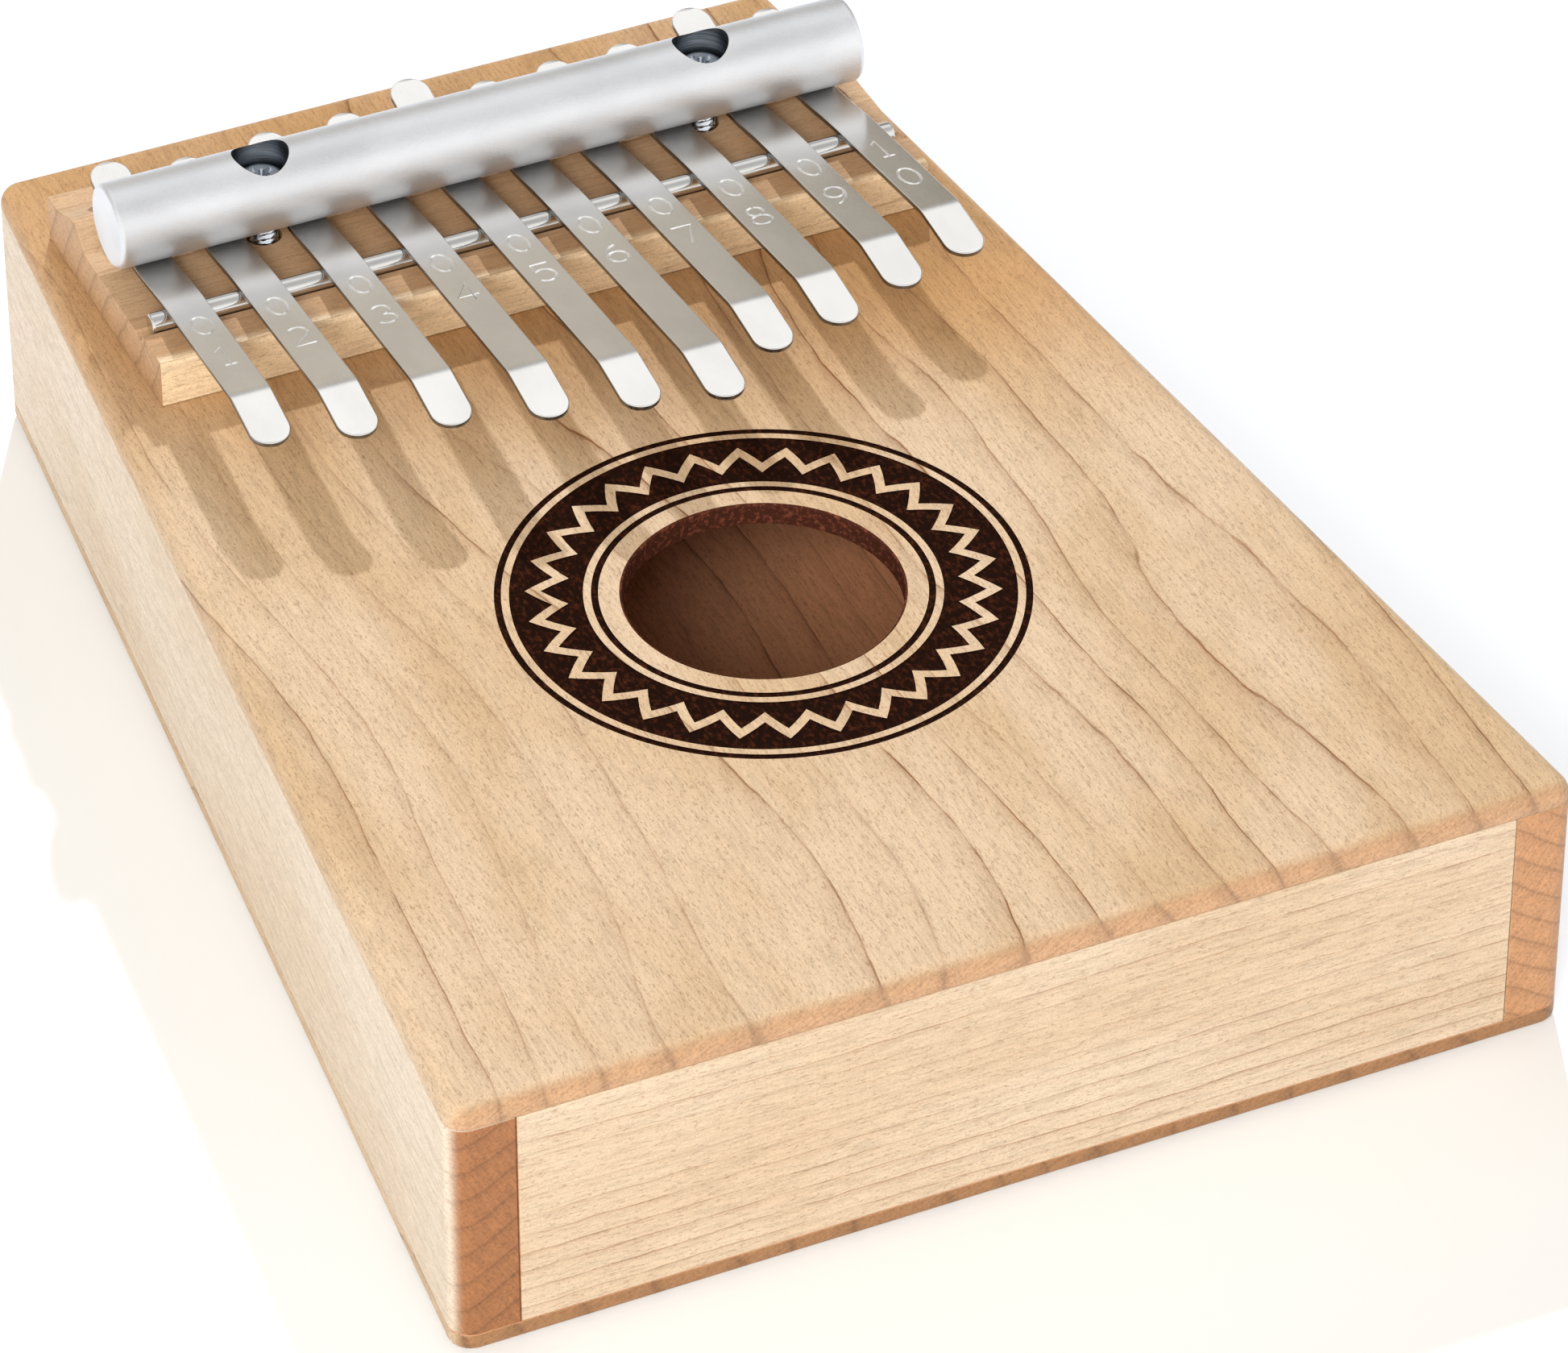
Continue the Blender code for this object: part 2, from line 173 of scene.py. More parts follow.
def make_piece(name, shape, materials):
    """Turns a bmesh into an object that wears these materials."""
    bmesh.ops.recalc_face_normals(shape, faces=shape.faces)
    mesh = bpy.data.meshes.new(name)
    shape.to_mesh(mesh)
    shape.free()
    for material in materials:
        mesh.materials.append(material)
    piece = bpy.data.objects.new(name, mesh)
    bpy.context.scene.collection.objects.link(piece)
    return piece


def settle(piece):
    """Applies a piece's modifiers."""
    bpy.context.view_layer.update()
    graph = bpy.context.evaluated_depsgraph_get()
    mesh = bpy.data.meshes.new_from_object(piece.evaluated_get(graph),
                                           preserve_all_data_layers=True, depsgraph=graph)
    piece.modifiers.clear()
    piece.data = mesh


def carve(piece, cutters, crossing=False):
    """Cuts the cutters out of a piece. The cut faces take the cutter's material.

    crossing allows a cutter whose own strokes cross each other.
    """
    for cutter in cutters:
        modifier = piece.modifiers.new("cut", "BOOLEAN")
        modifier.object = cutter
        modifier.operation = "DIFFERENCE"
        modifier.solver = "EXACT"
        modifier.use_self = crossing
        modifier.material_mode = "TRANSFER"
    settle(piece)
    for cutter in cutters:
        bpy.data.objects.remove(cutter)


def soften(piece, width, segments=3, angle=40):
    """Rounds a piece's sharp edges."""
    modifier = piece.modifiers.new("soft_edges", "BEVEL")
    modifier.width = width
    modifier.segments = segments
    modifier.limit_method = "ANGLE"
    modifier.angle_limit = math.radians(angle)
    settle(piece)


def shade(piece, angle=32):
    """Smooth shading that keeps flat faces flat."""
    piece.data.shade_smooth()
    piece.data.set_sharp_from_angle(angle=math.radians(angle))
    normals = piece.modifiers.new("flat_faces_stay_flat", "WEIGHTED_NORMAL")
    normals.keep_sharp = True


def place(piece, slot, *nodes):
    """Puts a finished piece on the fixed body, in the place of some CAD nodes."""
    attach(piece, ROOT)
    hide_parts(*nodes)


def bridge_rings(shape, lower, upper):
    """Faces between two closed rings of vertices."""
    count = len(lower)
    for index in range(count):
        after = (index + 1) % count
        shape.faces.new((lower[index], lower[after], upper[after], upper[index]))


def skin(shape, rings):
    """A closed body through rings of points, flat at both ends."""
    made = [[shape.verts.new(point) for point in ring] for ring in rings]
    for lower, upper in zip(made, made[1:]):
        bridge_rings(shape, lower, upper)
    shape.faces.new(made[0])
    shape.faces.new(made[-1])


def quarter(count):
    """Steps of a quarter turn, as (sine, cosine)."""
    turns = [math.pi / 2 * step / count for step in range(count + 1)]
    return [(math.sin(turn), math.cos(turn)) for turn in turns]


def plan_ring(corners, radii, inset):
    """A plan's outline with round corners, moved in by a distance."""
    points = []
    for index, corner in enumerate(corners):
        before = (corners[index - 1] - corner).normalized()
        after = (corners[(index + 1) % len(corners)] - corner).normalized()
        opening = before.angle(after)
        radius = max(radii[index] - inset, SOFT_EDGE / 4)
        centre = corner + (before + after).normalized() * (inset + radius) / math.sin(opening / 2)
        start = math.atan2(before.x, -before.y)
        for step in range(CORNER_STEPS + 1):
            turn = start + (math.pi - opening) * step / CORNER_STEPS
            points.append(centre + radius * Vector((math.cos(turn), math.sin(turn))))
    return points


def slab(name, corners, radii, bottom, top, under, over, materials):
    """A board with round corners and rounded edges underneath and on top."""
    levels = [(under * (1 - sine), bottom + under * (1 - cosine)) for sine, cosine in quarter(4)]
    levels += [(over * (1 - sine), top - over * (1 - cosine)) for sine, cosine in quarter(10)[::-1]]
    rings = [[(*point, height) for point in plan_ring(corners, radii, inset)]
             for inset, height in levels]
    shape = bmesh.new()
    skin(shape, rings)
    return make_piece(name, shape, materials)


def lathe(name, profile, materials, steps=96, ripple=None):
    """A turned body round Z. The profile is (radius, height) from bottom to top.

    ripple(turn, height) may be added to the radius, turn being in whole turns.
    """
    shape = bmesh.new()
    rings = []
    for radius, height in profile:
        ring = []
        for step in range(steps):
            turn = step / steps
            reach = radius + (ripple(turn, height) if ripple else 0)
            ring.append((reach * math.cos(2 * math.pi * turn),
                         reach * math.sin(2 * math.pi * turn), height))
        rings.append(ring)
    skin(shape, rings)
    return make_piece(name, shape, materials)


def lay_across(piece, centre):
    """Turns a body made round Z to lie along X, at a centre."""
    piece.data.transform(Matrix.Translation(centre) @ Euler((0, math.pi / 2, 0)).to_matrix().to_4x4())


def round_bar(name, radius, half_length, edge, centre, material, steps):
    """A round bar along X with rounded ends."""
    profile = [(radius - edge * (1 - sine), -half_length + edge * (1 - cosine))
               for sine, cosine in quarter(6)]
    profile += [(reach, -height) for reach, height in profile[::-1]]
    bar = lathe(name, profile, [material], steps)
    lay_across(bar, centre)
    return bar


# ---------------------------------------------------------------- materials

class Graph:
    """The nodes of one material, with short calls for the ones used most."""

    def __init__(self, name, roughness=0.5, metallic=0.0):
        self.material = bpy.data.materials.new(name)
        self.material.use_nodes = True
        self.tree = self.material.node_tree
        self.shader = self.tree.nodes["Principled BSDF"]
        self.shader.inputs["Roughness"].default_value = roughness
        self.shader.inputs["Metallic"].default_value = metallic
        where = self.tree.nodes.new("ShaderNodeTexCoord").outputs["Object"]
        self.spot = self.node("ShaderNodeVectorMath", {0: where, "Scale": 1 / MM}, "Vector",
                              operation="SCALE")

    def node(self, kind, inputs, output=0, **settings):
        """Adds a node. Its inputs are values or other nodes' outputs."""
        made = self.tree.nodes.new(kind)
        for name, value in settings.items():
            setattr(made, name, value)
        for key, value in inputs.items():
            if isinstance(value, bpy.types.NodeSocket):
                self.tree.links.new(value, made.inputs[key])
            else:
                made.inputs[key].default_value = value
        return made.outputs[output]

    def math(self, operation, first, second=0.0, clamp=False):
        return self.node("ShaderNodeMath", {0: first, 1: second}, operation=operation,
                         use_clamp=clamp)

    def along(self, direction):
        """How far a point lies along a direction, in millimetres."""
        return self.node("ShaderNodeVectorMath", {0: self.spot, 1: direction}, "Value",
                         operation="DOT_PRODUCT")

    def facing(self, direction):
        """How much a face looks along a direction or against it, 0 to 1."""
        normal = self.node("ShaderNodeNewGeometry", {}, "Normal")
        turned = self.node("ShaderNodeVectorMath", {0: normal, 1: direction}, "Value",
                           operation="DOT_PRODUCT")
        return self.math("ABSOLUTE", turned)

    def noise(self, x, y, z, scales, detail=2.0, roughness=0.5):
        """Noise over a place whose three directions have their own scales."""
        scaled = [self.math("MULTIPLY", value, scale) for value, scale in zip((x, y, z), scales)]
        where = self.node("ShaderNodeCombineXYZ", dict(enumerate(scaled)))
        return self.node("ShaderNodeTexNoise", {"Vector": where, "Scale": 1.0, "Detail": detail,
                                                "Roughness": roughness}, "Fac")

    def ramp(self, value, stops):
        """Maps a value through stops of (place, grey or colour)."""
        made = self.tree.nodes.new("ShaderNodeValToRGB")
        elements = made.color_ramp.elements
        while len(elements) < len(stops):
            elements.new(0.5)
        for element, (spot, colour) in zip(elements, stops):
            element.position = spot
            element.color = (*colour, 1) if isinstance(colour, tuple) else (*[colour] * 3, 1)
        self.tree.links.new(value, made.inputs["Fac"])
        return made.outputs["Color"]

    def mix(self, amount, first, second, kind="MIX"):
        """Mixes two colours."""
        made = self.tree.nodes.new("ShaderNodeMix")
        made.data_type = "RGBA"
        made.blend_type = kind
        for socket, value in ((made.inputs[0], amount), (made.inputs[6], first),
                              (made.inputs[7], second)):
            if isinstance(value, bpy.types.NodeSocket):
                self.tree.links.new(value, socket)
            else:
                socket.default_value = (*value, 1) if isinstance(value, tuple) else value
        return made.outputs[2]

    def span(self, value, low, high, start=0.0, stop=1.0):
        """Maps a range to another, smoothly, and holds it there."""
        return self.node("ShaderNodeMapRange", {"Value": value, "From Min": low, "From Max": high,
                                                "To Min": start, "To Max": stop},
                         interpolation_type="SMOOTHSTEP")

    def bump(self, height, depth, strength=1.0):
        """Bump of a depth in metres."""
        normal = self.node("ShaderNodeBump", {"Height": height, "Distance": depth,
                                              "Strength": strength}, "Normal")
        self.tree.links.new(normal, self.shader.inputs["Normal"])

    def give(self, name, value):
        self.tree.links.new(value, self.shader.inputs[name])


def wood(name, grain, rings, spacing, pale, tan, line, end, wander=16.0, gain=1.0, painted_shade=None):
    """Maple. grain runs along the fibres and rings across the growth rings.

    pale, tan and line are the ground, its darker patches and the growth lines; end is
    the colour of end grain. The last argument is (direction, from, to, colour, amount):
    painted shade, a slow darkening along a direction, in millimetres.
    """
    g = Graph(name, roughness=0.5)
    grain = Vector(grain).normalized()
    rings = Vector(rings).normalized()
    third = grain.cross(rings)
    a, r, s = g.along(grain), g.along(rings), g.along(third)

    # Growth rings that wander, each with its own strength.
    slow = g.noise(r, a, s, (1 / 42, 1 / 120, 1 / 42), 1.0)
    quick = g.noise(r, a, s, (1 / 10, 1 / 38, 1 / 10), 2.0)
    tremble = g.noise(r, a, s, (1 / 2.5, 1 / 6, 1 / 2.5), 2.0)
    place_across = g.math("ADD", r, g.math("MULTIPLY", slow, wander * 2))
    place_across = g.math("ADD", place_across, g.math("MULTIPLY", quick, wander * 0.22))
    place_across = g.math("ADD", place_across, g.math("MULTIPLY", tremble, 0.7))
    ring = g.math("DIVIDE", place_across, spacing)
    part = g.math("FRACT", ring)
    number = g.math("FLOOR", ring)
    share = g.node("ShaderNodeTexWhiteNoise", {"W": number}, "Value", noise_dimensions="1D")
    late = g.ramp(part, [(0.0, 0.16), (0.03, 0.0), (0.55, 0.0), (0.88, 0.17), (0.963, 0.40),
                         (0.98, 1.0), (0.99, 0.9), (1.0, 0.16)])
    end_rings = g.ramp(part, [(0.0, 0.50), (0.07, 0.04), (0.6, 0.0), (0.90, 0.22), (0.97, 0.62),
                              (1.0, 0.50)])
    broken = g.noise(r, a, s, (1 / 3, 1 / 9, 1 / 3), 3.0)
    late = g.math("MULTIPLY", late, g.span(share, 0.0, 1.0, 0.35, 1.0))
    late = g.math("MULTIPLY", late, g.span(broken, 0.3, 0.62, 0.35, 1.0))
    late = g.math("MULTIPLY", late, gain, clamp=True)

    # Patches, fibres, flecks and grit on the long faces.
    patch = g.noise(r, a, s, (1 / 18, 1 / 55, 1 / 18), 3.0)
    fibre = g.noise(r, a, s, (2.4, 0.20, 2.4), 3.0, 0.65)
    fleck = g.noise(r, a, s, (4.6, 1.0, 4.6), 1.0)
    grit = g.noise(r, a, s, (5.0, 3.5, 5.0), 2.0)

    colour = g.mix(g.span(patch, 0.36, 0.66), pale, tan)
    # Painted shade: the colour darkens slowly along a direction, with uneven strength.
    if painted_shade:
        direction, start, stop, shadow, amount = painted_shade
        reach = g.span(g.along(direction), start, stop, 0.0, amount)
        uneven = g.span(slow, 0.25, 0.75, 0.65, 1.0)
        colour = g.mix(g.math("MULTIPLY", reach, uneven), colour, shadow)
    colour = g.mix(late, colour, line)
    streak = g.ramp(fibre, [(0.36, 0.86), (0.5, 1.0), (0.64, 1.07)])
    colour = g.mix(1.0, colour, streak, "MULTIPLY")
    dash = g.span(fleck, 0.60, 0.70, 0.0, 0.38)
    colour = g.mix(dash, colour, line)
    speck = g.ramp(grit, [(0.38, 0.91), (0.5, 1.0), (0.62, 1.06)])
    colour = g.mix(1.0, colour, speck, "MULTIPLY")

    # End grain, where a face cuts across the fibres.
    cross_cut = g.span(g.facing(grain), 0.3, 0.85)
    pores = g.noise(r, a, s, (2.6, 2.6, 2.6), 2.0)
    rays = g.noise(r, a, s, (1 / 2.2, 1.0, 4.5), 2.0)
    end_colour = g.mix(end_rings, end, tuple(0.5 * channel for channel in end))
    end_colour = g.mix(1.0, end_colour, g.ramp(rays, [(0.3, 0.84), (0.7, 1.12)]), "MULTIPLY")
    end_colour = g.mix(1.0, end_colour, g.ramp(pores, [(0.32, 0.78), (0.5, 1.0), (0.7, 1.08)]),
                       "MULTIPLY")
    colour = g.mix(cross_cut, colour, end_colour)
    g.give("Base Color", colour)

    height = g.math("SUBTRACT", fibre, g.math("MULTIPLY", dash, 1.2))
    height = g.math("ADD", height, g.math("MULTIPLY", grit, 0.5))
    g.bump(height, 0.09 * MM, 0.6)
    g.give("Roughness", g.span(fibre, 0.25, 0.75, 0.6, 0.46))
    return g.material


def burnt_wood(name, deep, glow, roughness):
    """Wood charred by a laser: dark, with fine ribs along the grain and glints of brown."""
    g = Graph(name, roughness=roughness)
    g.shader.inputs["Specular IOR Level"].default_value = 0.05
    x, y, z = g.along((1, 0, 0)), g.along((0, 1, 0)), g.along((0, 0, 1))
    mottle = g.noise(x, y, z, (1.6, 0.9, 1.6), 3.0, 0.7)
    ribs = g.noise(x, y, z, (4.5, 0.8, 4.5), 2.0)
    g.give("Base Color", g.mix(g.span(mottle, 0.46, 0.74), deep, glow))
    g.bump(g.math("ADD", ribs, mottle), 0.08 * MM, 0.8)
    return g.material


def metal(name, colour, roughness, grain, scales, depth, vary=0.06, patina=0.05, metallic=1.0):
    """Worked metal. scales are how fine its marks are along grain and across it, per mm.

    depth is that of the marks. vary is how much the roughness changes from place to place,
    and patina how much the colour does.
    """
    g = Graph(name, roughness=roughness, metallic=metallic)
    grain = Vector(grain)
    side = grain.orthogonal().normalized()
    a, b, c = g.along(grain), g.along(side), g.along(grain.cross(side))
    marks = g.noise(a, b, c, (scales[0], scales[1], scales[1]), 3.0, 0.6)
    cloud = g.noise(a, b, c, (0.09, 0.16, 0.16), 3.0)
    shade_of = g.math("ADD", g.span(marks, 0.3, 0.7, 1 - patina, 1.0),
                      g.span(cloud, 0.3, 0.7, -patina, patina))
    made = g.node("ShaderNodeVectorMath", {0: colour, "Scale": shade_of}, "Vector",
                  operation="SCALE")
    g.give("Base Color", made)
    g.give("Roughness", g.span(g.math("ADD", marks, g.math("MULTIPLY", cloud, 0.4)), 0.4, 1.0,
                               roughness - vary, roughness + vary))
    g.bump(marks, depth, 0.6)
    return g.material


def turned_metal(name, colour, roughness):
    """Metal with the fine rings that a cutter leaves round an upright hole."""
    g = Graph(name, roughness=roughness, metallic=1.0)
    x, y, z = g.along((1, 0, 0)), g.along((0, 1, 0)), g.along((0, 0, 1))
    rings = g.noise(x, y, z, (0.1, 0.1, 7.0), 2.0)
    dark = tuple(0.5 * channel for channel in colour)
    g.give("Base Color", g.mix(g.span(rings, 0.35, 0.65), dark, colour))
    g.bump(rings, 0.05 * MM, 0.8)
    return g.material


PALE = (0.60, 0.45, 0.305)
TAN = (0.53, 0.37, 0.22)
LINE = (0.21, 0.085, 0.028)
END_PINK = (0.50, 0.295, 0.165)
END_BROWN = (0.41, 0.175, 0.068)
FRONT_OF_BLOCK = BLOCK_LOW.y / MM

# The top is painted darker and browner towards the bridge and the right: mostly painted shade of the
# bar and the tines.
top_wood = wood(
    "top_maple", grain=(0, 1, 0), rings=(1, 0, 0.35), spacing=8.5, pale=PALE, tan=TAN, line=LINE,
    end=END_PINK, gain=1.15, painted_shade=((0.3, 1, 0), 0.0, 46.0, (0.465, 0.245, 0.088), 0.85))
left_wood = wood(
    "left_side_maple", grain=(0, 1, 0), rings=(-0.55, 0, 1), spacing=3.6, pale=(0.67, 0.565, 0.45),
    tan=(0.63, 0.51, 0.38), line=(0.42, 0.26, 0.15), end=(0.32, 0.13, 0.047), wander=4.0, gain=0.6)
right_wood = wood(
    "right_side_maple", grain=(0, 1, 0), rings=(0.75, 0, 1), spacing=3.6, pale=PALE, tan=TAN,
    line=(0.34, 0.18, 0.08), end=(0.50, 0.25, 0.115), wander=4.0, gain=0.7)
panel_wood = wood(
    "end_panel_maple", grain=(1, 0, 0), rings=(0, 0.3, 1), spacing=2.7, pale=(0.635, 0.505, 0.37),
    tan=(0.58, 0.435, 0.295), line=(0.27, 0.13, 0.055), end=END_BROWN, wander=2.2, gain=1.3)
bottom_wood = wood(
    "bottom_maple", grain=(0, 1, 0), rings=(1, 0, 0.5), spacing=8.0, pale=PALE, tan=TAN, line=LINE,
    end=(0.33, 0.165, 0.07))
# The inside is painted brighter than the maple outside: painted light for the dim box seen through
# the hole.
inside_wood_painted_light = wood(
    "inside_maple_painted_light", grain=(0, 1, 0), rings=(1, 0, 0.4), spacing=7.0, pale=(0.80, 0.39, 0.215),
    tan=(0.68, 0.31, 0.155), line=(0.24, 0.085, 0.04), end=(0.3, 0.14, 0.07), wander=8.0)
# The block's wood is painted paler than the box's maple: painted light on its front face. Behind the
# front edge its top is painted darker: painted shade under the rod, the tines and the bar.
block_wood = wood(
    "bridge_maple", grain=(1, 0, 0), rings=(0, 1, 0.6), spacing=4.2, pale=(0.84, 0.68, 0.48),
    tan=(0.79, 0.61, 0.40), line=(0.38, 0.19, 0.08), end=(0.50, 0.30, 0.16), wander=4.0, gain=0.9,
    painted_shade=((0, 1, 0), FRONT_OF_BLOCK + 0.3, FRONT_OF_BLOCK + 2.0, (0.42, 0.23, 0.11), 0.85))
hidden_wood = wood(
    "inner_block_maple", grain=(1, 0, 0), rings=(0, 1, 0.3), spacing=6.0, pale=PALE, tan=TAN,
    line=LINE, end=END_BROWN)
char = burnt_wood("burnt_ornament", (0.010, 0.0032, 0.0018), (0.055, 0.015, 0.006), 0.8)
scorched = burnt_wood("scorched_hole_wall", (0.055, 0.017, 0.010), (0.20, 0.062, 0.036), 0.75)
satin = metal("satin_aluminium", (0.74, 0.75, 0.77), roughness=0.42, grain=(1, 0, 0),
              scales=(4.0, 4.0), depth=0.06 * MM, metallic=0.86)
# The counterbore's aluminium is painted darker than the bar's: painted shade inside the hole, over
# its real turning rings.
shaded_bore_metal = turned_metal("turned_aluminium_painted_shade", (0.44, 0.47, 0.51), roughness=0.3)
rod_steel = metal("polished_rod_steel", (0.64, 0.63, 0.61), roughness=0.08, grain=(1, 0, 0),
                  scales=(0.3, 6.0), depth=0.006 * MM, vary=0.04)
tine_steel = metal("tine_spring_steel", (0.81, 0.795, 0.77), roughness=0.17, grain=(0, 1, 0),
                   scales=(1.2, 5.0), depth=0.002 * MM, vary=0.03, patina=0.04)
# The tines' side faces are painted dark: a painted reflection of the dark surroundings in their
# edges.
painted_reflection_steel = metal("tine_side_painted_dark_reflection", (0.22, 0.21, 0.20), roughness=0.25, grain=(0, 1, 0),
                   scales=(0.5, 4.0), depth=0.01 * MM, vary=0.05)
groove_steel = metal("engraved_steel", (0.93, 0.92, 0.90), roughness=0.35, grain=(0, 1, 0),
                     scales=(4.0, 4.0), depth=0.01 * MM, vary=0.05)
screw_steel = metal("plated_screw_steel", (0.62, 0.65, 0.69), roughness=0.16, grain=(0, 0, 1),
                    scales=(5.0, 3.0), depth=0.02 * MM, vary=0.06)


# ---------------------------------------------------------------- the wooden box

def half_width(y):
    """Half the width of the box at a place along its length."""
    part = (y - NEAR_END) / (FAR_END - NEAR_END)
    return NEAR_HALF_WIDTH + (FAR_HALF_WIDTH - NEAR_HALF_WIDTH) * part


def plan(start, stop, left, right):
    """A four-sided plan, anticlockwise, from functions of y for its left and right sides."""
    return [Vector((left(start), start)), Vector((right(start), start)),
            Vector((right(stop), stop)), Vector((left(stop), stop))]


def ring_outline(radius, swing=0.0):
    """Points round the sound hole, on a circle or on a zigzag that swings about one."""
    points = []
    for step in range(RING_TEETH * TOOTH_STEPS):
        angle = 2 * math.pi * step / (RING_TEETH * TOOTH_STEPS)
        tooth = 2 * abs(2 * (step % TOOTH_STEPS) / TOOTH_STEPS - 1) - 1
        reach = radius + swing * tooth
        points.append((reach * math.cos(angle), HOLE_Y + reach * math.sin(angle)))
    return points


def frame_prism(shape, outer, inner, low, high):
    """A prism with a hole of the same number of points."""
    rings = [[shape.verts.new((x, y, z)) for x, y in outline]
             for outline, z in ((outer, low), (outer, high), (inner, high), (inner, low))]
    for lower, upper in zip(rings, rings[1:] + rings[:1]):
        bridge_rings(shape, lower, upper)


def ornament_cutter():
    """The burnt ring: two toothed bands that leave a pale zigzag, and a circle on each side."""
    shape = bmesh.new()
    middle = (RING_OUTER + RING_INNER) / 2
    outer_band = RING_OUTER - RING_LINE - RING_GAP
    inner_band = RING_INNER + RING_LINE + RING_GAP
    bands = [
        (ring_outline(RING_OUTER), ring_outline(RING_OUTER - RING_LINE)),
        (ring_outline(outer_band), ring_outline(middle + ZIGZAG_OFFSET, TOOTH_SWING)),
        (ring_outline(middle - ZIGZAG_OFFSET, TOOTH_SWING), ring_outline(inner_band)),
        (ring_outline(RING_INNER + RING_LINE), ring_outline(RING_INNER)),
    ]
    for outer, inner in bands:
        frame_prism(shape, outer, inner, TOP - BURN_DEPTH, TOP + MM)
    return make_piece("ornament_cutter", shape, [char])


def hole_cutter():
    """The sound hole, with its top edge eased."""
    profile = [(HOLE_RADIUS, TOP_UNDERSIDE - MM)]
    profile += [(HOLE_RADIUS + HOLE_EDGE * (1 - cosine), TOP - HOLE_EDGE * (1 - sine))
                for sine, cosine in quarter(5)]
    profile.append((HOLE_RADIUS + HOLE_EDGE, TOP + MM))
    cutter = lathe("hole_cutter", profile, [scorched], 160)
    cutter.data.transform(Matrix.Translation((0, HOLE_Y, 0)))
    return cutter


def shank_cutter(side, low, high, material):
    """A plain upright hole for a screw's shank."""
    cutter = lathe("shank_cutter", [(SHANK_HOLE_RADIUS, low), (SHANK_HOLE_RADIUS, high)],
                   [material], 40)
    cutter.data.transform(Matrix.Translation((side * SCREW_X, BAR_CENTRE.y, 0)))
    return cutter


def make_box():
    """Top, bottom, side boards and end panels, and the wood of the block inside."""
    whole = plan(NEAR_END, FAR_END, lambda y: -half_width(y), half_width)
    corners = [CORNER_RADIUS] * 4
    walls = (FLOOR_TOP + SEAM, TOP_UNDERSIDE - SEAM)

    top = slab("sound_board", whole, corners, TOP_UNDERSIDE, TOP, SOFT_EDGE, TOP_ROUNDING,
               [top_wood])
    carve(top, [hole_cutter(), ornament_cutter()]
          + [shank_cutter(side, TOP_UNDERSIDE - MM, TOP + MM, top_wood) for side in (-1, 1)])
    shade(top)
    place(top, "maple", "top_plate")

    bottom = slab("base_board", whole, corners, 0, FLOOR_TOP, BOTTOM_ROUNDING, SOFT_EDGE,
                  [bottom_wood, inside_wood_painted_light])
    # The bottom board's upper face takes the inside wood, with its painted light.
    for face in bottom.data.polygons:
        face.material_index = int(face.normal.z > 0.9)
    shade(bottom)
    place(bottom, "maple", "bottom_plate")

    thickness = SIDE_THICKNESS * math.hypot(1, (NEAR_HALF_WIDTH - FAR_HALF_WIDTH)
                                            / (FAR_END - NEAR_END))
    for name, node, side, material in (("left_rib", "left_side_board", -1, left_wood),
                                       ("right_rib", "right_side_board", 1, right_wood)):
        def outer(y, side=side):
            return side * half_width(y)

        def inner(y, side=side):
            return side * (half_width(y) - thickness)

        if side < 0:
            shape = plan(NEAR_END, FAR_END, outer, inner)
            radii = [CORNER_RADIUS, SOFT_EDGE, SOFT_EDGE, CORNER_RADIUS]
        else:
            shape = plan(NEAR_END, FAR_END, inner, outer)
            radii = [SOFT_EDGE, CORNER_RADIUS, CORNER_RADIUS, SOFT_EDGE]
        rib = slab(name, shape, radii, *walls, SOFT_EDGE, SOFT_EDGE, [material])
        shade(rib)
        place(rib, "maple", node)

    def right_edge(y):
        return half_width(y) - thickness - SEAM

    def left_edge(y):
        return -right_edge(y)

    for name, node, start in (("near_block", "near_end_panel", NEAR_END),
                              ("far_block", "far_end_panel", FAR_END - PANEL_DEPTH)):
        panel = slab(name, plan(start, start + PANEL_DEPTH, left_edge, right_edge),
                     [SOFT_EDGE] * 4, *walls, SOFT_EDGE, SOFT_EDGE, [panel_wood])
        shade(panel)
        place(panel, "end_panel_maple", node)

    inner_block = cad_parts["inner_screw_block"]
    inner_block.data.materials.clear()
    inner_block.data.materials.append(hidden_wood)


# ---------------------------------------------------------------- bridge, rod, bar and screws

def ease(start, low, stop, high, steps):
    """Points of a smooth rise from one height to another, without the first."""
    parts = [step / steps for step in range(1, steps + 1)]
    return [(start + (stop - start) * part, low + (high - low) * (1 - math.cos(math.pi * part)) / 2)
            for part in parts]


def block_outline():
    """The bridge block seen from its end, as (along, height), from front to rear."""
    land, bed, crest = TOP + LAND, TOP + BED, TOP + RIDGE_HEIGHT
    points = [(BLOCK_LOW.y, TOP + SEAM)]
    points += [(BLOCK_LOW.y + BLOCK_EDGE * (1 - cosine), land - BLOCK_EDGE * (1 - sine))
               for sine, cosine in quarter(5)]
    start = math.pi - math.asin((land - ROD_CENTRE.z) / GROOVE_RADIUS)
    stop = 2 * math.pi + math.asin((bed - ROD_CENTRE.z) / GROOVE_RADIUS)
    for step in range(GROOVE_STEPS + 1):
        turn = start + (stop - start) * step / GROOVE_STEPS
        points.append((ROD_CENTRE.y + GROOVE_RADIUS * math.cos(turn),
                       ROD_CENTRE.z + GROOVE_RADIUS * math.sin(turn)))
    points.append((BED_REAR, bed))
    points += ease(BED_REAR, bed, RIDGE_Y, crest, 14)
    points += ease(RIDGE_Y, crest, RIDGE_REAR, land, 18)
    points += [(BLOCK_HIGH.y - BLOCK_EDGE * (1 - cosine), land - BLOCK_EDGE * (1 - sine))
               for sine, cosine in quarter(5)[::-1]]
    points.append((BLOCK_HIGH.y, TOP + SEAM))
    return points


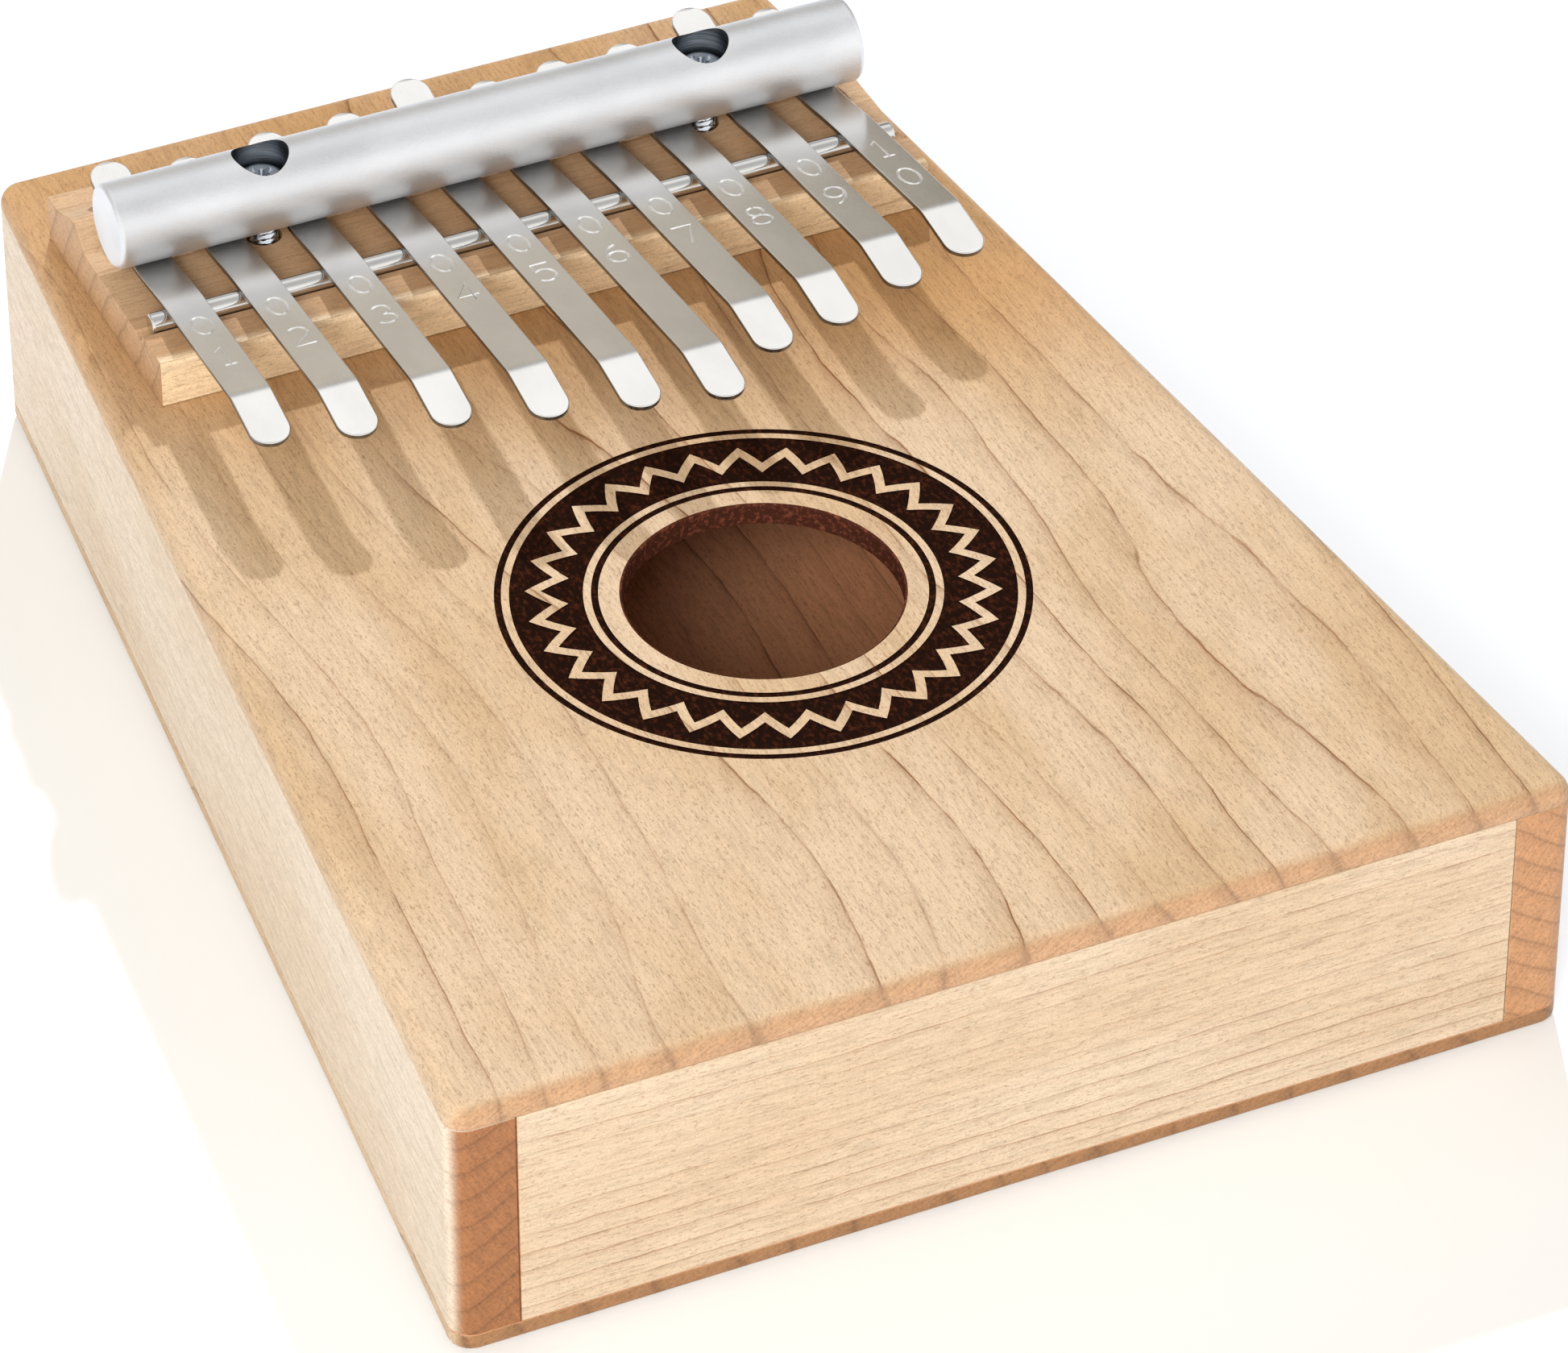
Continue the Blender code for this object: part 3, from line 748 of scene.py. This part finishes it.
def make_block():
    outline = block_outline()
    shape = bmesh.new()
    skin(shape, [[(x, y, z) for y, z in outline] for x in (BLOCK_LOW.x, BLOCK_HIGH.x)])
    block = make_piece("bridge", shape, [block_wood])
    carve(block, [shank_cutter(side, TOP - MM, BAR_CENTRE.z, block_wood) for side in (-1, 1)])
    soften(block, 0.3 * MM, 3, 50)
    shade(block)
    place(block, "bridge_maple", "bridge_block")


def counterbore_cutter(side):
    """The stepped hole that a screw's head sits in."""
    profile = [(SHANK_HOLE_RADIUS, BAR_LOW.z - MM), (SHANK_HOLE_RADIUS, COUNTERBORE_FLOOR),
               (COUNTERBORE_RADIUS, COUNTERBORE_FLOOR), (COUNTERBORE_RADIUS, BAR_HIGH.z + MM)]
    cutter = lathe("counterbore_cutter", profile, [shaded_bore_metal], 96)
    cutter.data.transform(Matrix.Translation((side * SCREW_X, BAR_CENTRE.y, 0)))
    return cutter


def make_bar_and_rod():
    bar = round_bar("pressure_bar", BAR_RADIUS, BAR_HIGH.x, BAR_EDGE, BAR_CENTRE, satin, 180)
    carve(bar, [counterbore_cutter(side) for side in (-1, 1)])
    soften(bar, 0.14 * MM, 2, 45)
    shade(bar)
    place(bar, "satin_aluminium", "clamp_bar")
    rod = round_bar("bridge_pin", ROD_RADIUS, ROD_HIGH.x, ROD_EDGE, ROD_CENTRE, rod_steel, 64)
    shade(rod)
    place(rod, "polished_rod_steel", "bridge_rod")


def cross_cutter(crown, turn, reach, width, depth):
    """One tapered cross of a screwdriver recess."""
    outline = []
    for side in range(4):
        at = turn + side * math.pi / 2
        forward = Vector((math.cos(at), math.sin(at)))
        left = Vector((-forward.y, forward.x))
        outline += [forward * reach - left * width, forward * reach + left * width,
                    (forward + left) * width]
    shape = bmesh.new()
    skin(shape, [[(*(RECESS_BOTTOM * point), crown - depth) for point in outline],
                 [(*(RECESS_MOUTH * point), crown + 0.3 * MM) for point in outline]])
    return make_piece("cross_cutter", shape, [screw_steel])


def thread(turn, height):
    """How far the thread falls in from the shank's radius."""
    if not SHANK_LOW < height < COUNTERBORE_FLOOR - MM:
        return 0
    part = (height / THREAD_PITCH - turn) % 1
    return -THREAD_DEPTH * (1 - abs(2 * part - 1))


def make_screws():
    """Two pan-head screws with a threaded shank and a cross recess."""
    floor = COUNTERBORE_FLOOR + SEAM
    crown = SCREW_HIGH.z
    height = crown - floor
    dome = 1 - CROWN_DROP - HEAD_WALL
    steps = int((floor - SHANK_LOW) / THREAD_PITCH * 8)
    profile = [(0.05 * MM, SCREW_LOW.z)]
    profile += [(SHANK_RADIUS, SHANK_LOW + (floor - SHANK_LOW) * step / steps)
                for step in range(steps + 1)]
    profile += [(HEAD_RADIUS - HEAD_RIM, floor), (HEAD_RADIUS, floor + HEAD_RIM),
                (HEAD_RADIUS, floor + HEAD_WALL * height)]
    profile += [(HEAD_RADIUS * (HEAD_CROWN + (1 - HEAD_CROWN) * cosine),
                 floor + height * (HEAD_WALL + dome * sine))
                for sine, cosine in quarter(9)[1:]]
    profile += [(HEAD_RADIUS * part, crown - height * CROWN_DROP * part ** 2 / HEAD_CROWN ** 2)
                for part in (0.5, 0.35, 0.2, 0.05)]
    for side, node in ((-1, "clamp_screw_left"), (1, "clamp_screw_right")):
        screw = lathe(node.replace("clamp_", "") + "_turned", profile, [screw_steel], 48, thread)
        carve(screw, [cross_cutter(crown, *recess) for recess in RECESSES])
        screw.data.transform(Matrix.Translation((side * SCREW_X, BAR_CENTRE.y, 0))
                             @ Matrix.Rotation(SCREW_TURN, 4, "Z"))
        shade(screw, 40)
        place(screw, "screw_steel", node)


# ---------------------------------------------------------------- tines

def hermite(y, start, low, slope_low, stop, high, slope_high):
    """A smooth curve between two heights with given slopes."""
    span = stop - start
    part = (y - start) / span
    return ((2 * part ** 3 - 3 * part ** 2 + 1) * low
            + (part ** 3 - 2 * part ** 2 + part) * span * slope_low
            + (3 * part ** 2 - 2 * part ** 3) * high
            + (part ** 3 - part ** 2) * span * slope_high)


def tine_height(y, tip):
    """Height of a tine's mid-line: over the ridge, under the bar, over the rod, to the tip."""
    rest = TINE_TOUCH + TINE_THICKNESS / 2
    over_ridge = TOP + RIDGE_HEIGHT + rest
    under_bar = BAR_LOW.z - rest
    over_rod = ROD_HIGH.z + rest
    if y >= RIDGE_Y:
        return over_ridge + TAIL_SLOPE * (y - RIDGE_Y)
    if y >= BAR_CENTRE.y:
        return hermite(y, BAR_CENTRE.y, under_bar, 0, RIDGE_Y, over_ridge, TAIL_SLOPE)
    if y >= ROD_CENTRE.y:
        return hermite(y, ROD_CENTRE.y, over_rod, -TINE_RISE, BAR_CENTRE.y, under_bar, 0)
    bend = tip + TIP_LENGTH
    straight = over_rod + TINE_RISE * (ROD_CENTRE.y - y)
    turned = min(max(bend - y, 0), TIP_BEND)
    past = max(bend - y - TIP_BEND, 0)
    return straight - (TIP_DROP + TINE_RISE) * (turned ** 2 / TIP_BEND / 2 + past)


def tine_point(y, aside, above, tip, centre):
    """A point of a tine from its place along, to the side of and above the mid-line."""
    slope = (tine_height(y + 0.05 * MM, tip) - tine_height(y - 0.05 * MM, tip)) / (0.1 * MM)
    long = math.hypot(1, slope)
    return (centre(y) + aside, y - above * slope / long, tine_height(y, tip) + above / long)


def tine_straight_stations(tip, tail):
    """Places along the straight-sided part of a tine, close together where it bends."""
    radius = TINE_WIDTH / 2
    start, stop = tip + radius, tail - radius
    # Each is a place and the distance in millimetres between stations from there on.
    marks = [(start, 1.2), (tip + TIP_LENGTH - TIP_BEND - 0.6 * MM, 0.25),
             (tip + TIP_LENGTH + 0.6 * MM, 4.0), (ROD_CENTRE.y - 1.0 * MM, 0.6),
             (RIDGE_Y + 2.0 * MM, 1.5), (stop, None)]
    places = []
    for (here, step), (there, _) in zip(marks, marks[1:]):
        if there <= here:
            continue
        count = max(1, round((there - here) / (step * MM)))
        places += [here + (there - here) * index / count for index in range(count)]
    return places + [stop]


def tine_pairs(tip, tail, inset):
    """Left and right points of a tine's plan, moved in by inset, from tip to tail."""
    radius = TINE_WIDTH / 2
    small = radius - inset
    turns = [math.radians(90 * (1 - step / TINE_END_STEPS)) for step in range(1, TINE_END_STEPS)]
    pairs = [(tip + radius - small * math.sin(turn), small * math.cos(turn)) for turn in turns]
    pairs += [(y, small) for y in tine_straight_stations(tip, tail)]
    pairs += [(tail - radius + small * math.sin(turn), small * math.cos(turn))
              for turn in turns[::-1]]
    return (tip + inset, pairs, tail - inset)


def make_tine_mesh(name, tip, tail, centre):
    """A bent strip with round ends and eased edges."""
    half = TINE_THICKNESS / 2
    levels = [(TINE_EDGE * (1 - sine), -half + TINE_EDGE * (1 - cosine))
              for sine, cosine in quarter(3)]
    levels += [(inset, -above) for inset, above in levels[::-1]]
    shape = bmesh.new()
    rings = []
    for inset, above in levels:
        first, pairs, last = tine_pairs(tip, tail, inset)
        line = [(first, 0)] + [(y, -aside) for y, aside in pairs]
        line += [(last, 0)] + pairs[::-1]
        rings.append([shape.verts.new(tine_point(y, aside, above, tip, centre))
                      for y, aside in line])
    for lower, upper in zip(rings, rings[1:]):
        bridge_rings(shape, lower, upper)
    for ring in (rings[0], rings[-1]):
        close_strip(shape, ring)
    materials = [tine_steel, groove_steel, painted_reflection_steel]
    strip = make_piece(name, shape, materials)
    # Side faces take the dark steel: a painted reflection along the tine's edges.
    for face in strip.data.polygons:
        if abs(face.normal.z) < TINE_SIDE_FACING:
            face.material_index = materials.index(painted_reflection_steel)
    return strip


def close_strip(shape, ring):
    """Fills a strip's face with one quad for each pair of stations."""
    count = len(ring)
    stations = (count - 2) // 2
    left = ring[1:stations + 1]
    right = ring[:stations + 1:-1]
    shape.faces.new((ring[0], left[0], right[0]))
    for here, there, across, beside in zip(left, left[1:], right[1:], right):
        shape.faces.new((here, there, across, beside))
    shape.faces.new((ring[stations + 1], left[-1], right[-1]))


def arc(x, y, wide, high, start, stop):
    """Points of an arc of an ellipse, in degrees."""
    count = max(3, round(abs(stop - start) / 20))
    turns = [math.radians(start + (stop - start) * step / count) for step in range(count + 1)]
    return [(x + wide * math.cos(turn), y + high * math.sin(turn)) for turn in turns]


# Plain single-line figures in a box one unit wide and high.
GLYPHS = {
    "0": [arc(0, 0, 0.4, 0.5, 90, 450)],
    "1": [[(-0.22, 0.3), (0.05, 0.5), (0.05, -0.5)], [(-0.2, -0.5), (0.3, -0.5)]],
    "2": [arc(0, 0.2, 0.4, 0.3, 160, -35) + [(-0.42, -0.5), (0.44, -0.5)]],
    "3": [arc(0, 0.25, 0.36, 0.25, 150, -85) + arc(0, -0.25, 0.42, 0.25, 85, -150)],
    "4": [[(0.2, -0.5), (0.2, 0.5), (-0.45, -0.2), (0.45, -0.2)]],
    "5": [[(0.38, 0.5), (-0.3, 0.5), (-0.36, 0.06)] + arc(-0.02, -0.17, 0.42, 0.33, 125, -140)],
    "6": [arc(0.4, -0.2, 0.8, 0.7, 105, 175) + arc(0, -0.2, 0.4, 0.3, 180, 530)],
    "7": [[(-0.42, 0.5), (0.42, 0.5), (-0.08, -0.5)]],
    "8": [arc(0, 0.26, 0.34, 0.24, 90, 440), arc(0, -0.24, 0.42, 0.26, 90, 440)],
    "9": [arc(-0.4, 0.2, 0.8, 0.7, 285, 355) + arc(0, 0.2, 0.4, 0.3, 0, 350)],
}


def mark_cutter(number, tip, centre):
    """The strokes of a tine's two-figure number, as thin tubes half sunk in its upper face."""
    curve = bpy.data.curves.new("mark", "CURVE")
    curve.dimensions = "3D"
    curve.bevel_depth = MARK_STROKE
    curve.bevel_resolution = 0
    curve.use_fill_caps = True
    for glyph, drop in zip(f"{number:02d}", MARK_PLACES):
        middle = ROD_CENTRE.y - drop
        for stroke in GLYPHS[glyph]:
            spline = curve.splines.new("POLY")
            spline.points.add(len(stroke) - 1)
            for point, (x, y) in zip(spline.points, stroke):
                spot = tine_point(middle + y * MARK_HEIGHT, x * MARK_WIDTH,
                                  TINE_THICKNESS / 2 + MARK_LIFT, tip, centre)
                point.co = (*spot, 1)
    drawn = bpy.data.objects.new("mark", curve)
    bpy.context.scene.collection.objects.link(drawn)
    bpy.context.view_layer.update()
    mesh = bpy.data.meshes.new_from_object(drawn.evaluated_get(
        bpy.context.evaluated_depsgraph_get()))
    bpy.data.objects.remove(drawn)
    shape = bmesh.new()
    shape.from_mesh(mesh)
    bmesh.ops.remove_doubles(shape, verts=shape.verts, dist=MM / 500)
    return make_piece("mark_cutter", shape, [groove_steel])


def make_tines():
    """Each tine is one bent strip with its number cut in, from its tip over the rod, under the bar
    and over the ridge to its tail.
    """
    for number, (bar_x, tip_x, tip_mm, tail_mm) in enumerate(TINE_ROWS, 1):
        tip = NEAR_END + tip_mm * MM
        tail = NEAR_END + tail_mm * MM
        lean = (tip_x - bar_x) * MM / (BAR_CENTRE.y - tip)

        def centre(y, bar_x=bar_x, lean=lean):
            return bar_x * MM + lean * (BAR_CENTRE.y - y)

        tine = make_tine_mesh(f"tine_{number:02d}", tip, tail, centre)
        carve(tine, [mark_cutter(number, tip, centre)], crossing=True)
        shade(tine)
        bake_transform(tine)
        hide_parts(f"tine_{number:02d}_tail", f"tine_{number:02d}_tongue")


# ---------------------------------------------------------------- studio

# The camera stands to the player's left and looks down at the top.
CAMERA_PLACE = (-0.3464, -0.7904, 0.6869)
CAMERA_AZIMUTH = math.radians(24.5)
CAMERA_ELEVATION = math.radians(38.25)
CAMERA_LENS = 194.05
CAMERA_SENSOR = 36

# The floor lies just under the object.
FLOOR_SIZE = 8
FLOOR_DROP = 0.2 * MM

# The share of the world's light, and its warmth, that falls on matt surfaces.
WORLD_ON_MATT = (0.66, 0.59, 0.49)


def make_camera():
    camera = bpy.data.objects.new("camera", bpy.data.cameras.new("camera"))
    camera.data.lens = CAMERA_LENS
    camera.data.sensor_width = CAMERA_SENSOR
    camera.data.sensor_fit = "HORIZONTAL"
    camera.location = CAMERA_PLACE
    camera.rotation_euler = (math.pi / 2 - CAMERA_ELEVATION, 0, -CAMERA_AZIMUTH)
    bpy.context.scene.collection.objects.link(camera)
    bpy.context.scene.camera = camera


def make_floor():
    bpy.ops.mesh.primitive_plane_add(size=FLOOR_SIZE, location=(0, 0, -FLOOR_DROP))
    floor = bpy.context.object
    floor.name = "studio_floor"
    g = Graph("floor_paper", roughness=0.75)
    x, y, z = g.along((1, 0, 0)), g.along((0, 1, 0)), g.along((0, 0, 1))
    cloud = g.noise(x, y, z, (0.004, 0.004, 0.004), 2.0)
    g.give("Base Color", g.ramp(cloud, [(0.3, (0.868, 0.905, 0.95)), (0.7, (0.888, 0.925, 0.97))]))
    floor.data.materials.append(g.material)


def area_light(name, direction, distance, size, power, colour):
    """A square light that looks at the object from a direction.

    Polished metal reflects the studio's walls and not these lights.
    """
    data = bpy.data.lights.new(name, "AREA")
    data.size = size
    data.energy = power
    data.color = colour
    light = bpy.data.objects.new(name, data)
    light.visible_glossy = False
    aim = Vector((0, 0, 0.03))
    light.location = aim + Vector(direction).normalized() * distance
    light.rotation_euler = (aim - light.location).to_track_quat("-Z", "Y").to_euler()
    bpy.context.scene.collection.objects.link(light)


def make_world():
    """A white studio with a grey wall behind the object, up to about 40 degrees.

    The wall is darker to the right. Every stop is (height of the direction, grey, warmth).
    """
    world = bpy.data.worlds.new("studio")
    bpy.context.scene.world = world
    world.use_nodes = True
    nodes, links = world.node_tree.nodes, world.node_tree.links
    where = nodes.new("ShaderNodeTexCoord")
    split = nodes.new("ShaderNodeSeparateXYZ")
    links.new(where.outputs["Generated"], split.inputs[0])

    def ramp(stops):
        made = nodes.new("ShaderNodeValToRGB")
        links.new(split.outputs["Z"], made.inputs["Fac"])
        elements = made.color_ramp.elements
        while len(elements) < len(stops):
            elements.new(0.5)
        for element, (spot, grey, warmth) in zip(elements, stops):
            element.position = spot
            element.color = (grey, grey * (1 - 0.4 * warmth), grey * (1 - warmth), 1)
        return made.outputs["Color"]

    def mix(axis, low, high, first, second):
        """Goes from one colour to the other as the direction's part along an axis grows."""
        amount = nodes.new("ShaderNodeMapRange")
        amount.interpolation_type = "SMOOTHSTEP"
        amount.inputs["From Min"].default_value = low
        amount.inputs["From Max"].default_value = high
        links.new(split.outputs[axis], amount.inputs["Value"])
        made = nodes.new("ShaderNodeMix")
        made.data_type = "RGBA"
        links.new(amount.outputs[0], made.inputs[0])
        links.new(first, made.inputs[6])
        links.new(second, made.inputs[7])
        return made.outputs[2]

    front = ramp([(0.0, 1.1, 0), (0.1, 1.32, 0), (0.58, 1.32, 0), (0.80, 0.75, 0), (1.0, 0.65, 0)])
    left = ramp([(0.0, 0.62, 0.05), (0.40, 0.64, 0.20), (0.52, 0.60, 0.20), (0.66, 0.52, 0.0),
                 (0.77, 1.2, 0), (0.90, 1.2, 0), (1.0, 0.65, 0)])
    right = ramp([(0.0, 0.50, 0.05), (0.40, 0.24, 0.25), (0.52, 0.26, 0.25), (0.66, 0.42, 0.0),
                  (0.77, 1.2, 0), (0.90, 1.2, 0), (1.0, 0.65, 0)])
    seen = mix("Y", -0.15, 0.25, front, mix("X", 0.315, 0.385, left, right))

    # Matt surfaces get less of it than metal shows, and warmer, so the key's shadows stay clear.
    rays = nodes.new("ShaderNodeLightPath")
    dimmed = nodes.new("ShaderNodeMix")
    dimmed.data_type = "RGBA"
    dimmed.blend_type = "MULTIPLY"
    dimmed.inputs[7].default_value = (*WORLD_ON_MATT, 1)
    links.new(rays.outputs["Is Diffuse Ray"], dimmed.inputs[0])
    links.new(seen, dimmed.inputs[6])
    links.new(dimmed.outputs[2], nodes["Background"].inputs["Color"])


make_box()
make_block()
make_bar_and_rod()
make_screws()
make_tines()
make_camera()
make_floor()
make_world()
area_light("key", direction=(0.55, 1.2, 1.0), distance=1.6, size=0.045, power=20.5,
           colour=(0.92, 1.0, 1.13))
area_light("front", direction=(-0.58, -0.72, 0.55), distance=1.5, size=0.6, power=19.5,
           colour=(1.0, 0.99, 0.97))
bpy.context.scene.view_settings.view_transform = "Standard"
